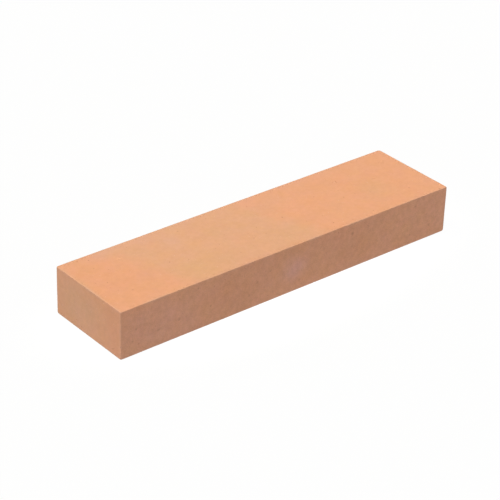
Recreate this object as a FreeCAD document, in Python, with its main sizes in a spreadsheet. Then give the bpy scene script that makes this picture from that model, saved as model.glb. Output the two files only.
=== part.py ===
import FreeCAD, Part
import os
import Sketcher

# A bench sharpening stone: one rectangular block of vitrified abrasive grain, pressed and fired in
# one piece and ground flat on all six faces. It has no core, layer, base, holder or fastener.
#
# Frame: the origin is the middle of the bottom face, +X runs along the length, +Y across the width
# and +Z up through the thickness. Lengths are in millimetres.

NODE = "abrasive_stone"
SHEET = "dimensions"

# The driving dimensions: the trade's 8 x 2 x 1 inch bench stone, with its sharp edges just eased.
DIMENSIONS = {
    "stone_length": "203.2",
    "stone_width": "50.8",
    "stone_thickness": "25.4",
    "edge_radius": "0.4",
}

BOX_EDGES = 12
SIZE_TOLERANCE = 1e-6

# The outline's four lines in the order they are drawn, and the sketcher's own numbers for a line's
# two ends and for the sketch's origin.
FRONT, RIGHT, BACK, LEFT = range(4)
START, END = 1, 2
SKETCH_ORIGIN = (-1, 1)


def make_sheet(doc):
    """Put each driving dimension in a cell of its own, under the name that expressions use."""
    sheet = doc.addObject("Spreadsheet::Sheet", SHEET)
    for row, (alias, value) in enumerate(DIMENSIONS.items(), start=1):
        cell = "B%d" % row
        sheet.set("A%d" % row, alias)
        sheet.set(cell, value)
        sheet.setAlias(cell, alias)
    doc.recompute()
    return sheet


def origin_plane(body, role):
    """Find one of the body's own origin planes by its role, such as XY_Plane."""
    for feature in body.Origin.OriginFeatures:
        if feature.Role == role:
            return feature
    raise RuntimeError("the body has no origin plane " + role)


def make_outline(body):
    """Sketch the bottom face: a rectangle about the origin, length along X and width along Y."""
    sketch = body.newObject("Sketcher::SketchObject", "bottom_outline")
    sketch.AttachmentSupport = [(origin_plane(body, "XY_Plane"), "")]
    sketch.MapMode = "FlatFace"

    # A rough rectangle comes first: the constraints centre it and give it its size.
    corners = [FreeCAD.Vector(x, y, 0) for x, y in ((-2, -1), (2, -1), (2, 1), (-2, 1))]
    for side, start in enumerate(corners):
        end = corners[(side + 1) % len(corners)]
        sketch.addGeometry(Part.LineSegment(start, end), False)
    for side, following in ((FRONT, RIGHT), (RIGHT, BACK), (BACK, LEFT), (LEFT, FRONT)):
        sketch.addConstraint(Sketcher.Constraint("Coincident", side, END, following, START))
    for side in (FRONT, BACK):
        sketch.addConstraint(Sketcher.Constraint("Horizontal", side))
    for side in (RIGHT, LEFT):
        sketch.addConstraint(Sketcher.Constraint("Vertical", side))
    # Opposite corners are symmetric about the sketch's origin, so the block is centred on it.
    sketch.addConstraint(Sketcher.Constraint("Symmetric", FRONT, START, BACK, START, *SKETCH_ORIGIN))

    for name, kind, side, alias in (
        ("along_x", "DistanceX", FRONT, "stone_length"),
        ("along_y", "DistanceY", RIGHT, "stone_width"),
    ):
        index = sketch.addConstraint(
            Sketcher.Constraint(kind, side, START, side, END, float(DIMENSIONS[alias]))
        )
        sketch.renameConstraint(index, name)
        sketch.setExpression("Constraints." + name, SHEET + "." + alias)
    return sketch


def make_stone(doc):
    """Build the block: the outline raised to the stone's thickness, then every edge eased."""
    body = doc.addObject("PartDesign::Body", NODE)
    body.Label = NODE
    body.Placement = FreeCAD.Placement()

    outline = make_outline(body)
    block = body.newObject("PartDesign::Pad", "block")
    block.Profile = outline
    block.setExpression("Length", SHEET + ".stone_thickness")
    doc.recompute()

    easing = body.newObject("PartDesign::Fillet", "edge_easing")
    easing.Base = (block, ["Edge%d" % number for number in range(1, BOX_EDGES + 1)])
    easing.setExpression("Radius", SHEET + ".edge_radius")
    body.Tip = easing
    doc.recompute()
    return body


def check_document(doc):
    """Stop if any object of the document failed to recompute."""
    for item in doc.Objects:
        if "Invalid" in item.State or "Error" in item.State:
            raise RuntimeError("%s failed: %s" % (item.Name, item.State))


def check_stone(body, sheet):
    """Stop unless the stone is one valid solid of the stated size, resting on the plane Z = 0."""
    shape = body.Shape
    if shape.isNull() or not shape.isValid() or len(shape.Solids) != 1:
        raise RuntimeError(body.Label + " is not one valid solid")
    box = shape.BoundBox
    measured = (box.XLength, box.YLength, box.ZLength, box.ZMin)
    stated = (sheet.stone_length, sheet.stone_width, sheet.stone_thickness, 0.0)
    for found, wanted in zip(measured, stated):
        if abs(found - wanted) > SIZE_TOLERANCE:
            raise RuntimeError("%s measures %g mm, not %g mm" % (body.Label, found, wanted))


def write_step(body):
    """Write the sub-part to the file that carries its label."""
    os.makedirs("parts", exist_ok=True)
    body.Shape.exportStep("parts/" + body.Label + ".step")
    print("%s: %.2f cm3" % (body.Label, body.Shape.Volume / 1000))


def main():
    doc = FreeCAD.newDocument("sharpening_stone")
    sheet = make_sheet(doc)
    stone = make_stone(doc)
    check_document(doc)
    check_stone(stone, sheet)
    write_step(stone)


main()
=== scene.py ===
import math

import bpy
import numpy as np
from mathutils import Matrix, Vector, geometry, noise


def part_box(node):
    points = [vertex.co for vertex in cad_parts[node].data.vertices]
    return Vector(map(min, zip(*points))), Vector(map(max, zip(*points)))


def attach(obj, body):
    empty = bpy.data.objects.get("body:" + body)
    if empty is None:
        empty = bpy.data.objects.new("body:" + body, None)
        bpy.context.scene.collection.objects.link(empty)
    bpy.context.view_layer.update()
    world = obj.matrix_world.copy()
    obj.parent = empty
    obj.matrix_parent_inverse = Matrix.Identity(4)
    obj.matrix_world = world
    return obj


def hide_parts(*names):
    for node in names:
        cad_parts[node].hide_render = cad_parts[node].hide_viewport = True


# A vitrified bench stone on a light table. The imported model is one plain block; here it gets the
# surface that a pressed, fired and ground stone has: eased edges that crumble a little, nicks,
# open pores, and a matt grain whose colour drifts through the block.

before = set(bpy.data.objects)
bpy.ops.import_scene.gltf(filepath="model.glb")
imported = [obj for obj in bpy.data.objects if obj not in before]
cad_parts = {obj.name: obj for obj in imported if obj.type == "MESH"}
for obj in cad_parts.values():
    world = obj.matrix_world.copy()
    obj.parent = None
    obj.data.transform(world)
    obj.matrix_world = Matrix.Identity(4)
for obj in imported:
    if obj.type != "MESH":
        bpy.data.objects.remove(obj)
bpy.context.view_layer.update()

MM = 0.001
NODE = "abrasive_stone"
LOW, HIGH = (np.array(corner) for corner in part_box(NODE))
SIZE = HIGH - LOW
SEED = 7

# ---- Shape: lengths are in metres ----

# The edges: how round they are, how far that swings about its mean, as a share, and over what
# length. The corners are rounder, as far as their reach.
EDGE_RADIUS = 0.29 * MM
EDGE_SWING = 0.3
EDGE_WAVE = 9 * MM
CORNER_RADIUS = 0.48 * MM
CORNER_REACH = 1.1 * MM

# How far easing cuts a sharp edge back along its diagonal, and a sharp corner along its own.
EDGE_CUT = EDGE_RADIUS * (math.sqrt(2) - 1)
CORNER_CUT = CORNER_RADIUS * (math.sqrt(3) - 1)

# Crumbling: its greatest depth, its reach in from the edge, and the noises that place it, each
# with its wavelength, its weight and the number of its pattern.
CRUMBLE_DEPTH = 0.035 * MM
CRUMBLE_REACH = 0.7 * MM
CRUMBLES = ((1.1 * MM, 1.0, 0.0), (0.5 * MM, 0.8, 5.0))

# Grey dust rubbed into the edges in patches: its reach, its mean strength, how far the strength
# swings about that mean, the length of a patch and the number of its pattern.
DUST_REACH = 0.9 * MM
DUST_STRENGTH = 0.16
DUST_SWING = 2.0
DUST_PATCH = 7 * MM
DUST_PATTERN = 9.0

# The way that noise moves from one numbered pattern to the next.
PATTERN_SHIFT = (1.0, 0.37, -1.0)

# The mesh is finest along the edges: rows of points run round each face at these distances in
# from the edge, each row keeping every n-th of the edge's stations. MIDWAY is the share of the
# easing's radius that puts a row midway between the flat face and the middle of the easing.
MIDWAY = 1 - math.tan(math.radians(22.5))
STATION_STEP = 0.34 * MM
CORNER_STEP = 0.14 * MM
CORNER_STATIONS = 7
ROWS = (
    (0.0, 1),
    (EDGE_RADIUS * MIDWAY, 1),
    (EDGE_RADIUS, 1),
    (EDGE_RADIUS + 0.25 * MM, 1),
    (EDGE_RADIUS + 0.55 * MM, 1),
    (EDGE_RADIUS + 0.90 * MM, 1),
    (EDGE_RADIUS + 1.35 * MM, 2),
    (EDGE_RADIUS + 1.95 * MM, 2),
    (EDGE_RADIUS + 2.80 * MM, 4),
)

# The rest of a face has a loose grid of points: its step, its distance in from the edge, and how
# far a point strays from it, as a share of the step.
FIELD_STEP = 1.5 * MM
FIELD_INSET = 4.0 * MM
FIELD_STRAY = 0.25

# Faces are triangulated in millimetres, where points closer than this are one point, and points
# of two faces are one point where they agree to this many decimals.
WELD_DISTANCE = 1e-5
WELD_DECIMALS = 4
# The triangulation's own number for triangles that cover the points' whole outline.
WHOLE_OUTLINE = 0
# Faces that meet at more than this angle, in degrees, show a hard edge.
HARD_EDGE = 32

# Pores: their number for each square metre of face, their size, how much the small ones outnumber
# the large, their depth as a share of the radius, and their profile: under 1 has steeper walls
# and a flatter floor than a paraboloid.
PORE_DENSITY = 6200
PORE_RADIUS = (0.16 * MM, 0.42 * MM)
PORE_BIAS = 3
PORE_DEPTH = (0.45, 0.70)
PORE_PROFILE = 0.8
# Rings of points that shape a pore, as a share of its radius and a number of points, and the
# distance that other points and pores keep from it, as a share of the radius.
PORE_RINGS = ((0.0, 1), (0.45, 6), (0.8, 9), (1.0, 12), (1.3, 12))
PORE_CLEARANCE = 1.55

# Nicks along the edges: their number for each metre of edge, their size, how much the small ones
# outnumber the large, their depth and how far they stray off the edge's diagonal, both as shares
# of the radius, and how many times longer than wide they are.
NICK_DENSITY = 34
NICK_RADIUS = (0.20 * MM, 0.62 * MM)
NICK_BIAS = 2.5
NICK_DEPTH = (0.22, 0.42)
NICK_STRAY = 0.25
NICK_STRETCH = (1.0, 1.9)
# The dust in a nick: its full strength, and the depth at which it reaches that.
NICK_DUST = 0.3
NICK_DUST_DEPTH = 0.08 * MM

# Corners that have taken a knock: which corner, by its side on each axis, with the scoop's radius
# and depth.
KNOCKS = (
    ((1, 1, 1), 1.9 * MM, 0.42 * MM),
    ((-1, -1, 1), 0.9 * MM, 0.16 * MM),
    ((1, -1, -1), 1.0 * MM, 0.22 * MM),
    ((-1, 1, -1), 1.4 * MM, 0.30 * MM),
)

# ---- Material: places and lengths are in millimetres ----

# The colours, as the linear light that each reflects.
WARM = (0.686, 0.329, 0.189)
COOL = (0.644, 0.337, 0.200)
AMBER = (0.682, 0.320, 0.180)
# Painted shade: the long sides' colour, a little darker and cooler than the top's.
SIDE_PAINTED_SHADE = (0.672, 0.324, 0.192)
SAGE = (0.627, 0.340, 0.203)
MAUVE = (0.662, 0.328, 0.226)
OLIVE = (0.622, 0.336, 0.176)
LILAC = (0.640, 0.342, 0.232)
ORCHID = (0.664, 0.338, 0.245)
RUSSET = (0.640, 0.300, 0.172)
BUFF = (0.700, 0.342, 0.212)
PALE = (0.780, 0.520, 0.380)
SPECK = (0.330, 0.142, 0.074)
DUSTY = (0.560, 0.360, 0.270)
# Dark colour in the pores, the stronger the deeper the pore: dust, and painted shade in the hollows.
PORE_DUST_AND_SHADE = (0.420, 0.200, 0.120)
PORE_DUST_AND_SHADE_STRENGTH = 0.55

# The long sides are as they were fired, and coarser than the ground top and bottom. Their colour
# also holds painted shade: a little darker and cooler than the top's. The ends take this share of
# both the coarseness and the painted shade of the long sides.
END_COARSENESS_AND_SHADE = 0.2

# The block is cooler in one slanting band across its length: the band's middle, half width, the
# width of its soft borders and its slant, along the length for each millimetre across. Its
# borders waver by this much, in noise with this many features for each millimetre.
COOL_BAND = (-30.0, 40.0, 16.0, 0.40)
BAND_WAVER = 24.0
BAND_WAVER_PER_MM = 0.06

# Soft patches in the block: centre, reach, strength and colour.
PATCHES = (
    ((-94, -2, 25), (34, 36, 9), 0.95, AMBER),
    ((0, 30, 25), (170, 16, 9), 0.45, LILAC),
    ((-46, -14, 25), (22, 14, 8), 0.85, OLIVE),
    ((-22, 8, 25), (12, 12, 8), 0.35, OLIVE),
    ((5, -14, 25), (14, 12, 8), 0.40, OLIVE),
    ((71, -4, 25), (15, 15, 8), 0.42, OLIVE),
    ((-103, 8, 12), (6, 36, 28), 1.00, SAGE),
    ((-104, -24, 12), (5, 22, 24), 0.85, RUSSET),
    ((-78, 22, 25), (16, 9, 8), 0.40, LILAC),
    ((-52, 22, 25), (28, 10, 8), 0.30, LILAC),
    ((-44, 12, 25), (10, 12, 8), 0.35, LILAC),
    ((16, 14, 25), (16, 11, 8), 0.35, LILAC),
    ((-78, -27, 10), (34, 6, 20), 0.70, MAUVE),
    ((102, -27, 12), (26, 6, 20), 0.90, BUFF),
    ((-36, -27, 12), (26, 6, 18), 0.80, RUSSET),
    ((0, -27, 22), (85, 6, 24), 0.60, RUSSET),
    ((39, -27, 12), (24, 6, 18), 0.80, RUSSET),
    ((1, -26, 12), (13, 8, 10), 0.95, ORCHID),
    ((-98, -27, 2), (18, 5, 16), 1.00, BUFF),
    ((13, -27, 1), (30, 5, 10), 0.35, RUSSET),
)

# Dark flecks on the near long side, as (along, up, reach, strength), and on top, as (along,
# across, reach, strength).
SIDE_FLECKS = (
    (-57.5, 22.3, 0.90, 0.50),
    (-48.0, 20.0, 0.75, 0.40),
    (-50.0, 10.0, 1.00, 0.30),
    (-93.0, 13.5, 1.10, 0.42),
    (-95.0, 7.5, 0.90, 0.32),
    (38.0, 19.5, 1.35, 0.50),
    (-22.0, 13.0, 1.10, 0.35),
    (-14.0, 16.5, 1.00, 0.30),
    (4.5, 5.0, 1.05, 0.32),
    (80.0, 21.0, 1.00, 0.32),
    (77.5, 5.5, 0.95, 0.28),
)
TOP_FLECKS = (
    (-85.5, -12.6, 0.85, 0.34),
    (-91.0, -9.0, 0.65, 0.28),
    (66.5, -6.5, 0.70, 0.28),
    (-10.0, -3.0, 0.60, 0.24),
)

# Drift of each colour channel on its own: features for each millimetre, and how far from 1 each
# channel's gain goes as its noise goes this far from 0.5.
HUES = ((0.11, (0.017, 0.007, 0.056)), (0.75, (0.012, 0.005, 0.038)))
HUE_NOISE_SWING = 0.25
# Light and dark: features for each millimetre, detail, and how far from 1 the shade goes on the
# ground faces and, added to that, on the coarser long sides. The noise has this range.
SHADE_NOISE_RANGE = (0.3, 0.7)
SHADES = (
    (0.09, 2.0, 0.014, 0.0),
    (0.42, 2.0, 0.028, 0.032),
    (1.7, 3.0, 0.026, 0.056),
    (5.5, 2.0, 0.026, 0.015),
)
# The darker grain is also the redder, so each colour channel takes its own share of the shade.
SHADE_SHARES = (0.88, 1.0, 1.2)

# Single grains, all over and on the coarser faces: cells for each millimetre, the share of cells
# that hold one, its greatest radius, strength and colour.
GRAINS = ((0.42, 0.15, 0.45, 0.62, SPECK), (0.9, 0.20, 0.28, 0.60, PALE))
SIDE_GRAINS = ((0.62, 0.30, 0.42, 0.44, SPECK), (0.24, 0.30, 0.95, 0.24, SPECK))
# A grain's outline: its lumps for each radius of its length, how far they stand out, as a share
# of the radius, and the width of its soft border, in cells.
GRAIN_LUMPS = 0.7
GRAIN_LUMP_SIZE = 1.6
GRAIN_BORDER = 0.08

# The open grain's relief: the features for each millimetre, detail and roughness of its main
# noise, those of the finer noise added to it, and the finer noise's weight.
RELIEF = (1.7, 3.0, 0.65)
FINE_RELIEF = (5.5, 2.0, 0.5)
FINE_RELIEF_WEIGHT = 0.35
# The finish: as the relief rises through its range, the roughness goes from the first to the
# second, and the bump is this strong and this high, in metres.
RELIEF_RANGE = (0.45, 0.9)
ROUGHNESS = (0.80, 0.93)
BUMP_STRENGTH = 0.5
BUMP_HEIGHT = 0.06 * MM
REFRACTIVE_INDEX = 1.5
SPECULAR_LEVEL = 0.35

# The Mix node has a factor and a result for each kind of value: these are its colour sockets.
MIX_FACTOR, MIX_FIRST, MIX_SECOND = 0, 6, 7
MIX_RESULT = 2

# ---- Light and camera: lengths are in metres ----

# The light: levels are radiances, where 1 shows as white. The table is a light table that reaches
# past every view: nearly all of its light is its own, so the stone throws no shadow on it, and
# it's brightest in a pool round the stone.
WHITE = (1, 1, 1, 1)
FLOOR_REACH = 30.0
FLOOR_ALBEDO = 0.03
FLOOR_GLOW = 0.956
POOL_REACH = (0.145, 0.070, 0.10)
POOL_LEVEL = 0.13
BACKDROP_LEVEL = 0.992
FILL_LEVEL = 0.10
# The key light: how wide it spreads and how far it leans along the stone, both in degrees.
KEY_SPREAD = 40.0
KEY_LEAN = -15.0
KEY_LEVEL = 3.7
KEY_COLOUR = (1.0, 0.99, 0.90)

# The camera: a 36 mm frame, and angles in degrees.
SENSOR_WIDTH = 36.0
LENS = 138.54
AZIMUTH = -40.15
ELEVATION = 29.91
ROLL = 1.96
DISTANCE = 0.93954
AIM = (-0.00371, 0.00248, 0.01142)
CLIP_START = 0.05
CLIP_END = 40


def stations(length):
    """Distances along an edge from corner to corner, closest together at the corners."""
    near = np.arange(CORNER_STATIONS) * CORNER_STEP
    start = CORNER_STATIONS * CORNER_STEP
    count = round((length - 2 * start) / STATION_STEP)
    middle = np.linspace(start, length - start, count + 1)
    return np.concatenate([near, middle, length - near[::-1]])


def row_points(width, height, inset, keep):
    """Points round a face of that width and height, on the rectangle inset from its edges."""
    points = [(u, v) for u in (inset, width - inset) for v in (inset, height - inset)]
    for along, across, swap in ((width, height, False), (height, width, True)):
        for station in stations(along)[::keep]:
            if inset < station < along - inset:
                for side in (inset, across - inset):
                    points.append((side, station) if swap else (station, side))
    return points


def field_points(width, height, rng):
    """A loose grid of points over the middle of a face."""
    points = []
    columns = round((width - 2 * FIELD_INSET) / FIELD_STEP)
    lines = round((height - 2 * FIELD_INSET) / FIELD_STEP)
    for i in range(columns + 1):
        for j in range(lines + 1):
            u = FIELD_INSET + (width - 2 * FIELD_INSET) * i / columns
            v = FIELD_INSET + (height - 2 * FIELD_INSET) * j / lines
            stray = rng.uniform(-FIELD_STRAY, FIELD_STRAY, 2) * FIELD_STEP
            points.append((u + stray[0], v + stray[1]))
    return points


def random_size(limits, bias, rng):
    """A size between two limits. A bias over 1 makes small sizes the more common."""
    return limits[0] + (limits[1] - limits[0]) * rng.random() ** bias


def scatter_pores(width, height, rng):
    """Pores on a face, as (u, v, radius), clear of the eased edges and of each other."""
    pores = []
    for _ in range(round(PORE_DENSITY * width * height)):
        radius = random_size(PORE_RADIUS, PORE_BIAS, rng)
        inset = EDGE_RADIUS + PORE_CLEARANCE * radius
        u = rng.uniform(inset, width - inset)
        v = rng.uniform(inset, height - inset)
        if all(math.hypot(u - a, v - b) > PORE_CLEARANCE * (radius + r) for a, b, r in pores):
            pores.append((u, v, radius))
    return pores


def pore_points(u, v, radius, rng):
    """Rings of points that give a pore its bowl and its rim."""
    points = []
    for share, count in PORE_RINGS:
        turn = rng.uniform(0, math.tau)
        for step in range(count):
            angle = turn + math.tau * step / count
            points.append((u + share * radius * math.cos(angle), v + share * radius * math.sin(angle)))
    return points


def face_triangles(width, height, rng):
    """Points (u, v) and triangles that cover one flat face, and its pores."""
    fixed = []
    loose = []
    for inset, keep in ROWS:
        chosen = fixed if inset <= EDGE_RADIUS else loose
        chosen += row_points(width, height, inset, keep)
    loose += field_points(width, height, rng)
    pores = scatter_pores(width, height, rng)
    loose = np.array(loose)
    for u, v, radius in pores:
        away = np.hypot(loose[:, 0] - u, loose[:, 1] - v)
        loose = loose[away > PORE_CLEARANCE * radius]
        fixed += pore_points(u, v, radius, rng)
    points = [Vector(point) / MM for point in fixed + [tuple(point) for point in loose]]
    found, _, triangles, *_ = geometry.delaunay_2d_cdt(points, [], [], WHOLE_OUTLINE, WELD_DISTANCE)
    return np.array([tuple(point) for point in found]) * MM, np.array(triangles), pores


def place_on_face(flat, axis, side):
    """Points (u, v) of a face, placed in space on the low or high side of an axis."""
    across, up = (axis + 1) % 3, (axis + 2) % 3
    placed = np.empty((len(flat), 3))
    placed[:, axis] = (LOW, HIGH)[side][axis]
    placed[:, across] = LOW[across] + flat[:, 0]
    placed[:, up] = LOW[up] + flat[:, 1]
    return placed


def sharp_box(rng):
    """The six faces as one mesh of a sharp-edged box, with its pores as (centre, radius, normal)."""
    vertices = []
    triangles = []
    pores = []
    index = {}
    for axis in range(3):
        across, up = (axis + 1) % 3, (axis + 2) % 3
        for side in (0, 1):
            flat, faces, face_pores = face_triangles(SIZE[across], SIZE[up], rng)
            numbers = []
            for point in place_on_face(flat, axis, side):
                key = tuple(np.round(point / MM, WELD_DECIMALS))
                if key not in index:
                    index[key] = len(vertices)
                    vertices.append(point)
                numbers.append(index[key])
            numbers = np.array(numbers)[faces]
            triangles.append(numbers if side else numbers[:, ::-1])
            normal = np.zeros(3)
            normal[axis] = 2 * side - 1
            for u, v, radius in face_pores:
                centre = place_on_face(np.array([(u, v)]), axis, side)[0]
                pores.append((centre, radius, normal))
    return np.array(vertices), np.concatenate(triangles), pores


def noise_at(points, wavelength, pattern=0.0):
    """Smooth noise of about -1 to 1 at each point, with features of that wavelength."""
    shift = Vector([pattern * part for part in PATTERN_SHIFT])
    return np.array([noise.noise(Vector(point) / wavelength + shift) for point in points])


def round_edges(points):
    """Move points from the sharp box to one with eased edges. Also gives each point's distance
    from the nearest edge, and its outward direction."""
    to_side = np.sort(np.minimum(points - LOW, HIGH - points), axis=1)
    from_edge = to_side[:, 1]
    from_corner = np.hypot(to_side[:, 1], to_side[:, 2])
    radius = EDGE_RADIUS * (1 + EDGE_SWING * noise_at(points, EDGE_WAVE))
    radius += (CORNER_RADIUS - EDGE_RADIUS) * np.exp(-((from_corner / CORNER_REACH) ** 2))
    inner = np.clip(points, LOW + radius[:, None], HIGH - radius[:, None])
    outward = points - inner
    outward /= np.linalg.norm(outward, axis=1)[:, None]
    return inner + radius[:, None] * outward, from_edge, outward


def crumble(points, from_edge):
    """How far the surface has crumbled away at each point."""
    rough = sum(weight * noise_at(points, length, pattern) for length, weight, pattern in CRUMBLES)
    return CRUMBLE_DEPTH * np.clip(rough, 0, 1) * np.exp(-((from_edge / CRUMBLE_REACH) ** 2))


def box_edges():
    """The box's twelve edges, as (start, direction axis, length, outward diagonal)."""
    edges = []
    for axis in range(3):
        across, up = (axis + 1) % 3, (axis + 2) % 3
        for a in (0, 1):
            for b in (0, 1):
                start = LOW.copy()
                start[across] = (LOW, HIGH)[a][across]
                start[up] = (LOW, HIGH)[b][up]
                diagonal = np.zeros(3)
                diagonal[across] = 2 * a - 1
                diagonal[up] = 2 * b - 1
                edges.append((start, axis, SIZE[axis], diagonal / math.sqrt(2)))
    return edges


def scoop(points, centre, radius, stretch=(1, 1, 1)):
    """Push the points that lie inside a ball out to its surface. The ball is longer where stretch
    is over 1."""
    away = (points - centre) / stretch
    distance = np.linalg.norm(away, axis=1)
    inside = distance < radius
    push = radius / distance[inside]
    points[inside] = centre + away[inside] * push[:, None] * stretch


def scoop_nick(points, edge, rng):
    """Scoop one small nick out of an edge, somewhere along it."""
    start, axis, length, diagonal = edge
    radius = random_size(NICK_RADIUS, NICK_BIAS, rng)
    depth = radius * rng.uniform(*NICK_DEPTH)
    centre = start.copy()
    centre[axis] += rng.uniform(0, length)
    stray = rng.normal(0, NICK_STRAY, 3) * radius
    centre += diagonal * (radius - depth - EDGE_CUT) + stray
    stretch = np.ones(3)
    stretch[axis] = rng.uniform(*NICK_STRETCH)
    scoop(points, centre, radius, stretch)


def scoop_knock(points, sides, radius, depth):
    """Scoop a knock out of a corner."""
    outward = np.array(sides) / math.sqrt(3)
    corner = np.where(outward > 0, HIGH, LOW) - outward * CORNER_CUT
    scoop(points, corner + outward * (radius - depth), radius)


def wear_edges(points, rng):
    """Nick the edges and knock the corners. Gives the moved points and how far each one moved."""
    worn = points.copy()
    for edge in box_edges():
        for _ in range(rng.poisson(NICK_DENSITY * edge[2])):
            scoop_nick(worn, edge, rng)
    for sides, radius, depth in KNOCKS:
        scoop_knock(worn, sides, radius, depth)
    worn = np.clip(worn, LOW, HIGH)
    return worn, np.linalg.norm(worn - points, axis=1)


def sink_pores(points, pores, rng):
    """Press each pore's bowl into its face. Gives the moved points and their share of depth."""
    moved = points.copy()
    share = np.zeros(len(points))
    for centre, radius, normal in pores:
        distance = np.linalg.norm(points - centre, axis=1)
        near = distance < radius
        bowl = (1 - (distance[near] / radius) ** 2) ** PORE_PROFILE
        moved[near] -= np.outer(bowl * radius * rng.uniform(*PORE_DEPTH), normal)
        share[near] = bowl
    return moved, share


def edge_dust(points, from_edge):
    """The strength of the dust at each point of the sharp box."""
    patchy = np.clip(1 + DUST_SWING * noise_at(points, DUST_PATCH, DUST_PATTERN), 0, None)
    return DUST_STRENGTH * patchy * np.exp(-((from_edge / DUST_REACH) ** 2))


def add_attribute(mesh, name, values):
    """Give each point of a mesh a number that the material can read."""
    attribute = mesh.attributes.new(name, "FLOAT", "POINT")
    attribute.data.foreach_set("value", values.astype(np.float32))


def build_stone():
    """The stone as one closed mesh, with its material and the attributes that it reads."""
    rng = np.random.default_rng(SEED)
    sharp, triangles, pores = sharp_box(rng)
    points, from_edge, outward = round_edges(sharp)
    points -= outward * crumble(points, from_edge)[:, None]
    points, nick_depth = wear_edges(points, rng)
    points, pore_depth = sink_pores(points, pores, rng)

    mesh = bpy.data.meshes.new("whetstone")
    mesh.from_pydata(points.tolist(), [], triangles.tolist())
    mesh.validate()
    mesh.shade_smooth()
    mesh.set_sharp_from_angle(angle=math.radians(HARD_EDGE))
    nick_dust = NICK_DUST * np.clip(nick_depth / NICK_DUST_DEPTH, 0, 1)
    add_attribute(mesh, "edge_wear", edge_dust(sharp, from_edge) + nick_dust)
    add_attribute(mesh, "pore_depth", pore_depth)
    # Where the long sides are: coarser grain there, and painted shade in their colour; a share on the
    # ends.
    add_attribute(mesh, "coarse_and_shaded", outward[:, 1] ** 2 + END_COARSENESS_AND_SHADE * outward[:, 0] ** 2)

    stone = bpy.data.objects.new("whetstone", mesh)
    bpy.context.scene.collection.objects.link(stone)
    stone.data.materials.append(stone_material())
    return stone


def empty_tree(owner):
    """The node tree of a material or world, with nothing in it yet."""
    owner.use_nodes = True
    owner.node_tree.nodes.clear()
    return owner.node_tree


def node(tree, kind, inputs=None, **settings):
    """Add a node: inputs maps a socket's name or number to a value or to another node's socket."""
    made = tree.nodes.new(kind)
    for name, value in settings.items():
        setattr(made, name, value)
    for socket, value in (inputs or {}).items():
        if isinstance(value, bpy.types.NodeSocket):
            tree.links.new(value, made.inputs[socket])
        else:
            made.inputs[socket].default_value = value
    return made


def maths(tree, operation, *operands):
    """A Math node's result."""
    return node(tree, "ShaderNodeMath", dict(enumerate(operands)), operation=operation).outputs[0]


def vector_maths(tree, operation, *operands):
    """A Vector Math node's result, where that is a vector."""
    sockets = dict(enumerate(operands))
    return node(tree, "ShaderNodeVectorMath", sockets, operation=operation).outputs[0]


def mix(tree, factor, first, second, blend="MIX"):
    """Two colours mixed by a factor."""
    sockets = {MIX_FACTOR: factor}
    for socket, colour in ((MIX_FIRST, first), (MIX_SECOND, second)):
        sockets[socket] = colour if isinstance(colour, bpy.types.NodeSocket) else (*colour, 1)
    made = node(tree, "ShaderNodeMix", sockets, data_type="RGBA", blend_type=blend)
    return made.outputs[MIX_RESULT]


def remap(tree, value, from_range, to_range, kind="LINEAR"):
    """A value moved from one range to another, and held inside it."""
    sockets = dict(enumerate((value, *from_range, *to_range)))
    return node(tree, "ShaderNodeMapRange", sockets, interpolation_type=kind).outputs[0]


def cloud(tree, place, per_mm, detail=2.0, roughness=0.5, result="Fac"):
    """Noise of 0 to 1 with that many features for each millimetre."""
    sockets = {"Vector": place, "Scale": per_mm, "Detail": detail, "Roughness": roughness}
    return node(tree, "ShaderNodeTexNoise", sockets).outputs[result]


def attribute(tree, name):
    """A number that the mesh holds for each of its points."""
    return node(tree, "ShaderNodeAttribute", attribute_name=name).outputs["Fac"]


def vary(tree, colour, swing, reach):
    """A colour with each channel multiplied by 1 plus the swing times the channel's reach."""
    gain = vector_maths(tree, "MULTIPLY_ADD", swing, reach, (1, 1, 1))
    return mix(tree, 1.0, colour, gain, blend="MULTIPLY")


def cool_band(tree, place):
    """The block's cooler band: 1 inside it and 0 outside."""
    middle, half, border, slant = COOL_BAND
    parts = node(tree, "ShaderNodeSeparateXYZ", {0: place})
    along = maths(tree, "MULTIPLY_ADD", parts.outputs["Y"], slant, parts.outputs["X"])
    waver = cloud(tree, place, BAND_WAVER_PER_MM)
    along = maths(tree, "MULTIPLY_ADD", waver, BAND_WAVER, along)
    away = maths(tree, "ABSOLUTE", maths(tree, "SUBTRACT", along, middle + BAND_WAVER / 2))
    return remap(tree, away, (half - border / 2, half + border / 2), (1, 0), kind="SMOOTHSTEP")


def zone(tree, place, centre, reach):
    """A soft patch: 1 at its centre and 0 past its reach."""
    offset = vector_maths(tree, "SUBTRACT", place, centre)
    scaled = vector_maths(tree, "DIVIDE", offset, reach)
    length = node(tree, "ShaderNodeVectorMath", {0: scaled}, operation="LENGTH").outputs["Value"]
    return remap(tree, length, (0, 1), (1, 0), kind="SMOOTHSTEP")


def grains(tree, place, per_mm, share, radius):
    """Sparse lumpy grains in the block, as a mask: a share of the cells holds one, of up to that
    radius."""
    shift = cloud(tree, place, GRAIN_LUMPS / radius, result="Color")
    lumpy = vector_maths(tree, "MULTIPLY_ADD", shift, [GRAIN_LUMP_SIZE * radius] * 3, place)
    cells = node(tree, "ShaderNodeTexVoronoi", {"Vector": lumpy, "Scale": per_mm})
    pick = node(tree, "ShaderNodeSeparateColor", {0: cells.outputs["Color"]})
    chosen = maths(tree, "GREATER_THAN", pick.outputs[0], 1 - share)
    edge = maths(tree, "MULTIPLY", pick.outputs[1], radius * per_mm)
    inside = maths(tree, "SUBTRACT", edge, cells.outputs["Distance"])
    body = remap(tree, inside, (0.0, GRAIN_BORDER), (0, 1))
    return maths(tree, "MULTIPLY", chosen, body)


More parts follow.
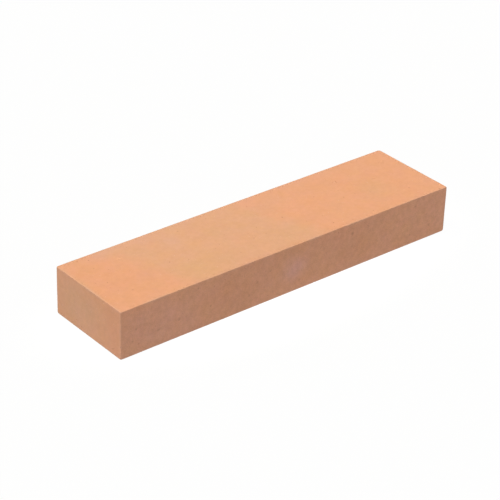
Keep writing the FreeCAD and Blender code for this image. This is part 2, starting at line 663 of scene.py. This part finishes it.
def block_colour(tree, place, coarse_and_shaded):
    """The block's colour: cooler in one band of the ground faces, with painted shade on the long
    sides, soft patches and a slow drift of hue."""
    colour = mix(tree, cool_band(tree, place), WARM, COOL)
    # Painted shade on the long sides, and a little on the ends.
    colour = mix(tree, coarse_and_shaded, colour, SIDE_PAINTED_SHADE)
    for centre, reach, strength, tint in PATCHES:
        there = maths(tree, "MULTIPLY", zone(tree, place, centre, reach), strength)
        colour = mix(tree, there, colour, tint)
    for per_mm, reach in HUES:
        drift = cloud(tree, place, per_mm, result="Color")
        drift = vector_maths(tree, "SUBTRACT", drift, (0.5, 0.5, 0.5))
        swing = vector_maths(tree, "MULTIPLY", drift, [1 / HUE_NOISE_SWING] * 3)
        colour = vary(tree, colour, swing, reach)
    return colour


def add_shades(tree, place, coarse_and_shaded, colour):
    """The colour with its light and dark: drifts, blotches, the mix's lumps and the grain."""
    for per_mm, detail, least, extra in SHADES:
        swing = remap(tree, cloud(tree, place, per_mm, detail), SHADE_NOISE_RANGE, (-1, 1))
        reach = maths(tree, "MULTIPLY_ADD", coarse_and_shaded, extra, least)
        colour = vary(tree, colour, maths(tree, "MULTIPLY", swing, reach), SHADE_SHARES)
    return colour


def add_grains(tree, place, coarse_and_shaded, colour):
    """The colour with its flecks and single grains: dark iron-rich ones and pale ones."""
    near_side = LOW[1] / MM
    top = HIGH[2] / MM
    flecks = [((x, near_side, z), reach, strength) for x, z, reach, strength in SIDE_FLECKS]
    flecks += [((x, y, top), reach, strength) for x, y, reach, strength in TOP_FLECKS]
    for centre, reach, strength in flecks:
        there = maths(tree, "MULTIPLY", zone(tree, place, centre, [reach] * 3), strength)
        colour = mix(tree, there, colour, SPECK)
    for per_mm, share, radius, strength, tint in GRAINS:
        there = maths(tree, "MULTIPLY", grains(tree, place, per_mm, share, radius), strength)
        colour = mix(tree, there, colour, tint)
    for per_mm, share, radius, strength, tint in SIDE_GRAINS:
        there = maths(tree, "MULTIPLY", grains(tree, place, per_mm, share, radius), strength)
        colour = mix(tree, maths(tree, "MULTIPLY", there, coarse_and_shaded), colour, tint)
    return colour


def add_dust_and_pore_shade(tree, colour):
    """The colour with grey dust in its edges and nicks, and dark dust with painted shade in its pores.
    """
    colour = mix(tree, attribute(tree, "edge_wear"), colour, DUSTY)
    # Dust and painted shade: the pores darker the deeper in.
    there = maths(tree, "MULTIPLY", attribute(tree, "pore_depth"), PORE_DUST_AND_SHADE_STRENGTH)
    return mix(tree, there, colour, PORE_DUST_AND_SHADE)


def stone_material():
    """Fine bonded abrasive: matt and granular, its colour drifting between warm and cool tan."""
    material = bpy.data.materials.new("bonded_abrasive")
    tree = empty_tree(material)
    metres = node(tree, "ShaderNodeTexCoord").outputs["Object"]
    place = vector_maths(tree, "MULTIPLY", metres, [1 / MM] * 3)
    coarse_and_shaded = attribute(tree, "coarse_and_shaded")
    colour = block_colour(tree, place, coarse_and_shaded)
    colour = add_shades(tree, place, coarse_and_shaded, colour)
    colour = add_grains(tree, place, coarse_and_shaded, colour)
    colour = add_dust_and_pore_shade(tree, colour)

    relief = cloud(tree, place, *RELIEF)
    fine = cloud(tree, place, *FINE_RELIEF)
    relief = maths(tree, "MULTIPLY_ADD", fine, FINE_RELIEF_WEIGHT, relief)
    sockets = {"Strength": BUMP_STRENGTH, "Distance": BUMP_HEIGHT, "Height": relief}
    bump = node(tree, "ShaderNodeBump", sockets)
    sockets = {
        "Base Color": colour,
        "Roughness": remap(tree, relief, RELIEF_RANGE, ROUGHNESS),
        "Normal": bump.outputs[0],
        "IOR": REFRACTIVE_INDEX,
        "Specular IOR Level": SPECULAR_LEVEL,
    }
    shader = node(tree, "ShaderNodeBsdfPrincipled", sockets)
    node(tree, "ShaderNodeOutputMaterial", {"Surface": shader.outputs[0]})
    return material


def floor_material():
    """White that glows by itself and reflects next to nothing."""
    material = bpy.data.materials.new("table_top")
    tree = empty_tree(material)
    surface = node(tree, "ShaderNodeBsdfDiffuse", {"Color": (*[FLOOR_ALBEDO] * 3, 1)})
    place = node(tree, "ShaderNodeTexCoord").outputs["Object"]
    pool = zone(tree, place, (0, 0, 0), POOL_REACH)
    strength = maths(tree, "MULTIPLY_ADD", pool, POOL_LEVEL, FLOOR_GLOW)
    glow = node(tree, "ShaderNodeEmission", {"Color": WHITE, "Strength": strength})
    both = node(tree, "ShaderNodeAddShader", {0: surface.outputs[0], 1: glow.outputs[0]})
    node(tree, "ShaderNodeOutputMaterial", {"Surface": both.outputs[0]})
    return material


def make_floor():
    """The light table: plain, white and lit from within."""
    mesh = bpy.data.meshes.new("table_top")
    reach = FLOOR_REACH
    corners = [(-reach, -reach, 0), (reach, -reach, 0), (reach, reach, 0), (-reach, reach, 0)]
    mesh.from_pydata(corners, [], [(0, 1, 2, 3)])
    mesh.materials.append(floor_material())
    floor = bpy.data.objects.new("table_top", mesh)
    bpy.context.scene.collection.objects.link(floor)
    return floor


def make_world():
    """White behind everything, but only a dim fill on the stone."""
    world = bpy.data.worlds.new("studio")
    bpy.context.scene.world = world
    tree = empty_tree(world)
    seen = node(tree, "ShaderNodeLightPath").outputs["Is Camera Ray"]
    fill = node(tree, "ShaderNodeBackground", {"Color": WHITE, "Strength": FILL_LEVEL})
    white = node(tree, "ShaderNodeBackground", {"Color": WHITE, "Strength": BACKDROP_LEVEL})
    both = node(tree, "ShaderNodeMixShader", {0: seen, 1: fill.outputs[0], 2: white.outputs[0]})
    node(tree, "ShaderNodeOutputWorld", {"Surface": both.outputs[0]})


def make_key_light():
    """A broad soft light overhead, leaning towards the stone's left end."""
    data = bpy.data.lights.new("key", "SUN")
    data.angle = math.radians(KEY_SPREAD)
    data.energy = KEY_LEVEL
    data.color = KEY_COLOUR
    light = bpy.data.objects.new("key", data)
    bpy.context.scene.collection.objects.link(light)
    towards = Vector((math.tan(math.radians(KEY_LEAN)), 0, 1)).normalized()
    light.rotation_euler = towards.to_track_quat("Z", "Y").to_euler()


def make_camera():
    """A long lens, low over the stone's near left corner, and tipped a little to one side."""
    data = bpy.data.cameras.new("camera")
    data.sensor_width = SENSOR_WIDTH
    data.lens = LENS
    data.clip_start = CLIP_START
    data.clip_end = CLIP_END
    camera = bpy.data.objects.new("camera", data)
    bpy.context.scene.collection.objects.link(camera)
    turn, rise, roll = (math.radians(angle) for angle in (AZIMUTH, ELEVATION, ROLL))
    back = Vector((math.sin(turn) * math.cos(rise), -math.cos(turn) * math.cos(rise), math.sin(rise)))
    level = Vector((math.cos(turn), math.sin(turn), 0))
    upright = back.cross(level)
    right = math.cos(roll) * level + math.sin(roll) * upright
    up = back.cross(right)
    turned = Matrix((right, up, back)).transposed()
    camera.matrix_world = Matrix.Translation(Vector(AIM) + back * DISTANCE) @ turned.to_4x4()
    bpy.context.scene.camera = camera


bpy.context.scene.view_settings.view_transform = "Standard"
stone = build_stone()
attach(stone, "root")
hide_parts(NODE)

make_floor()
make_world()
make_key_light()
make_camera()
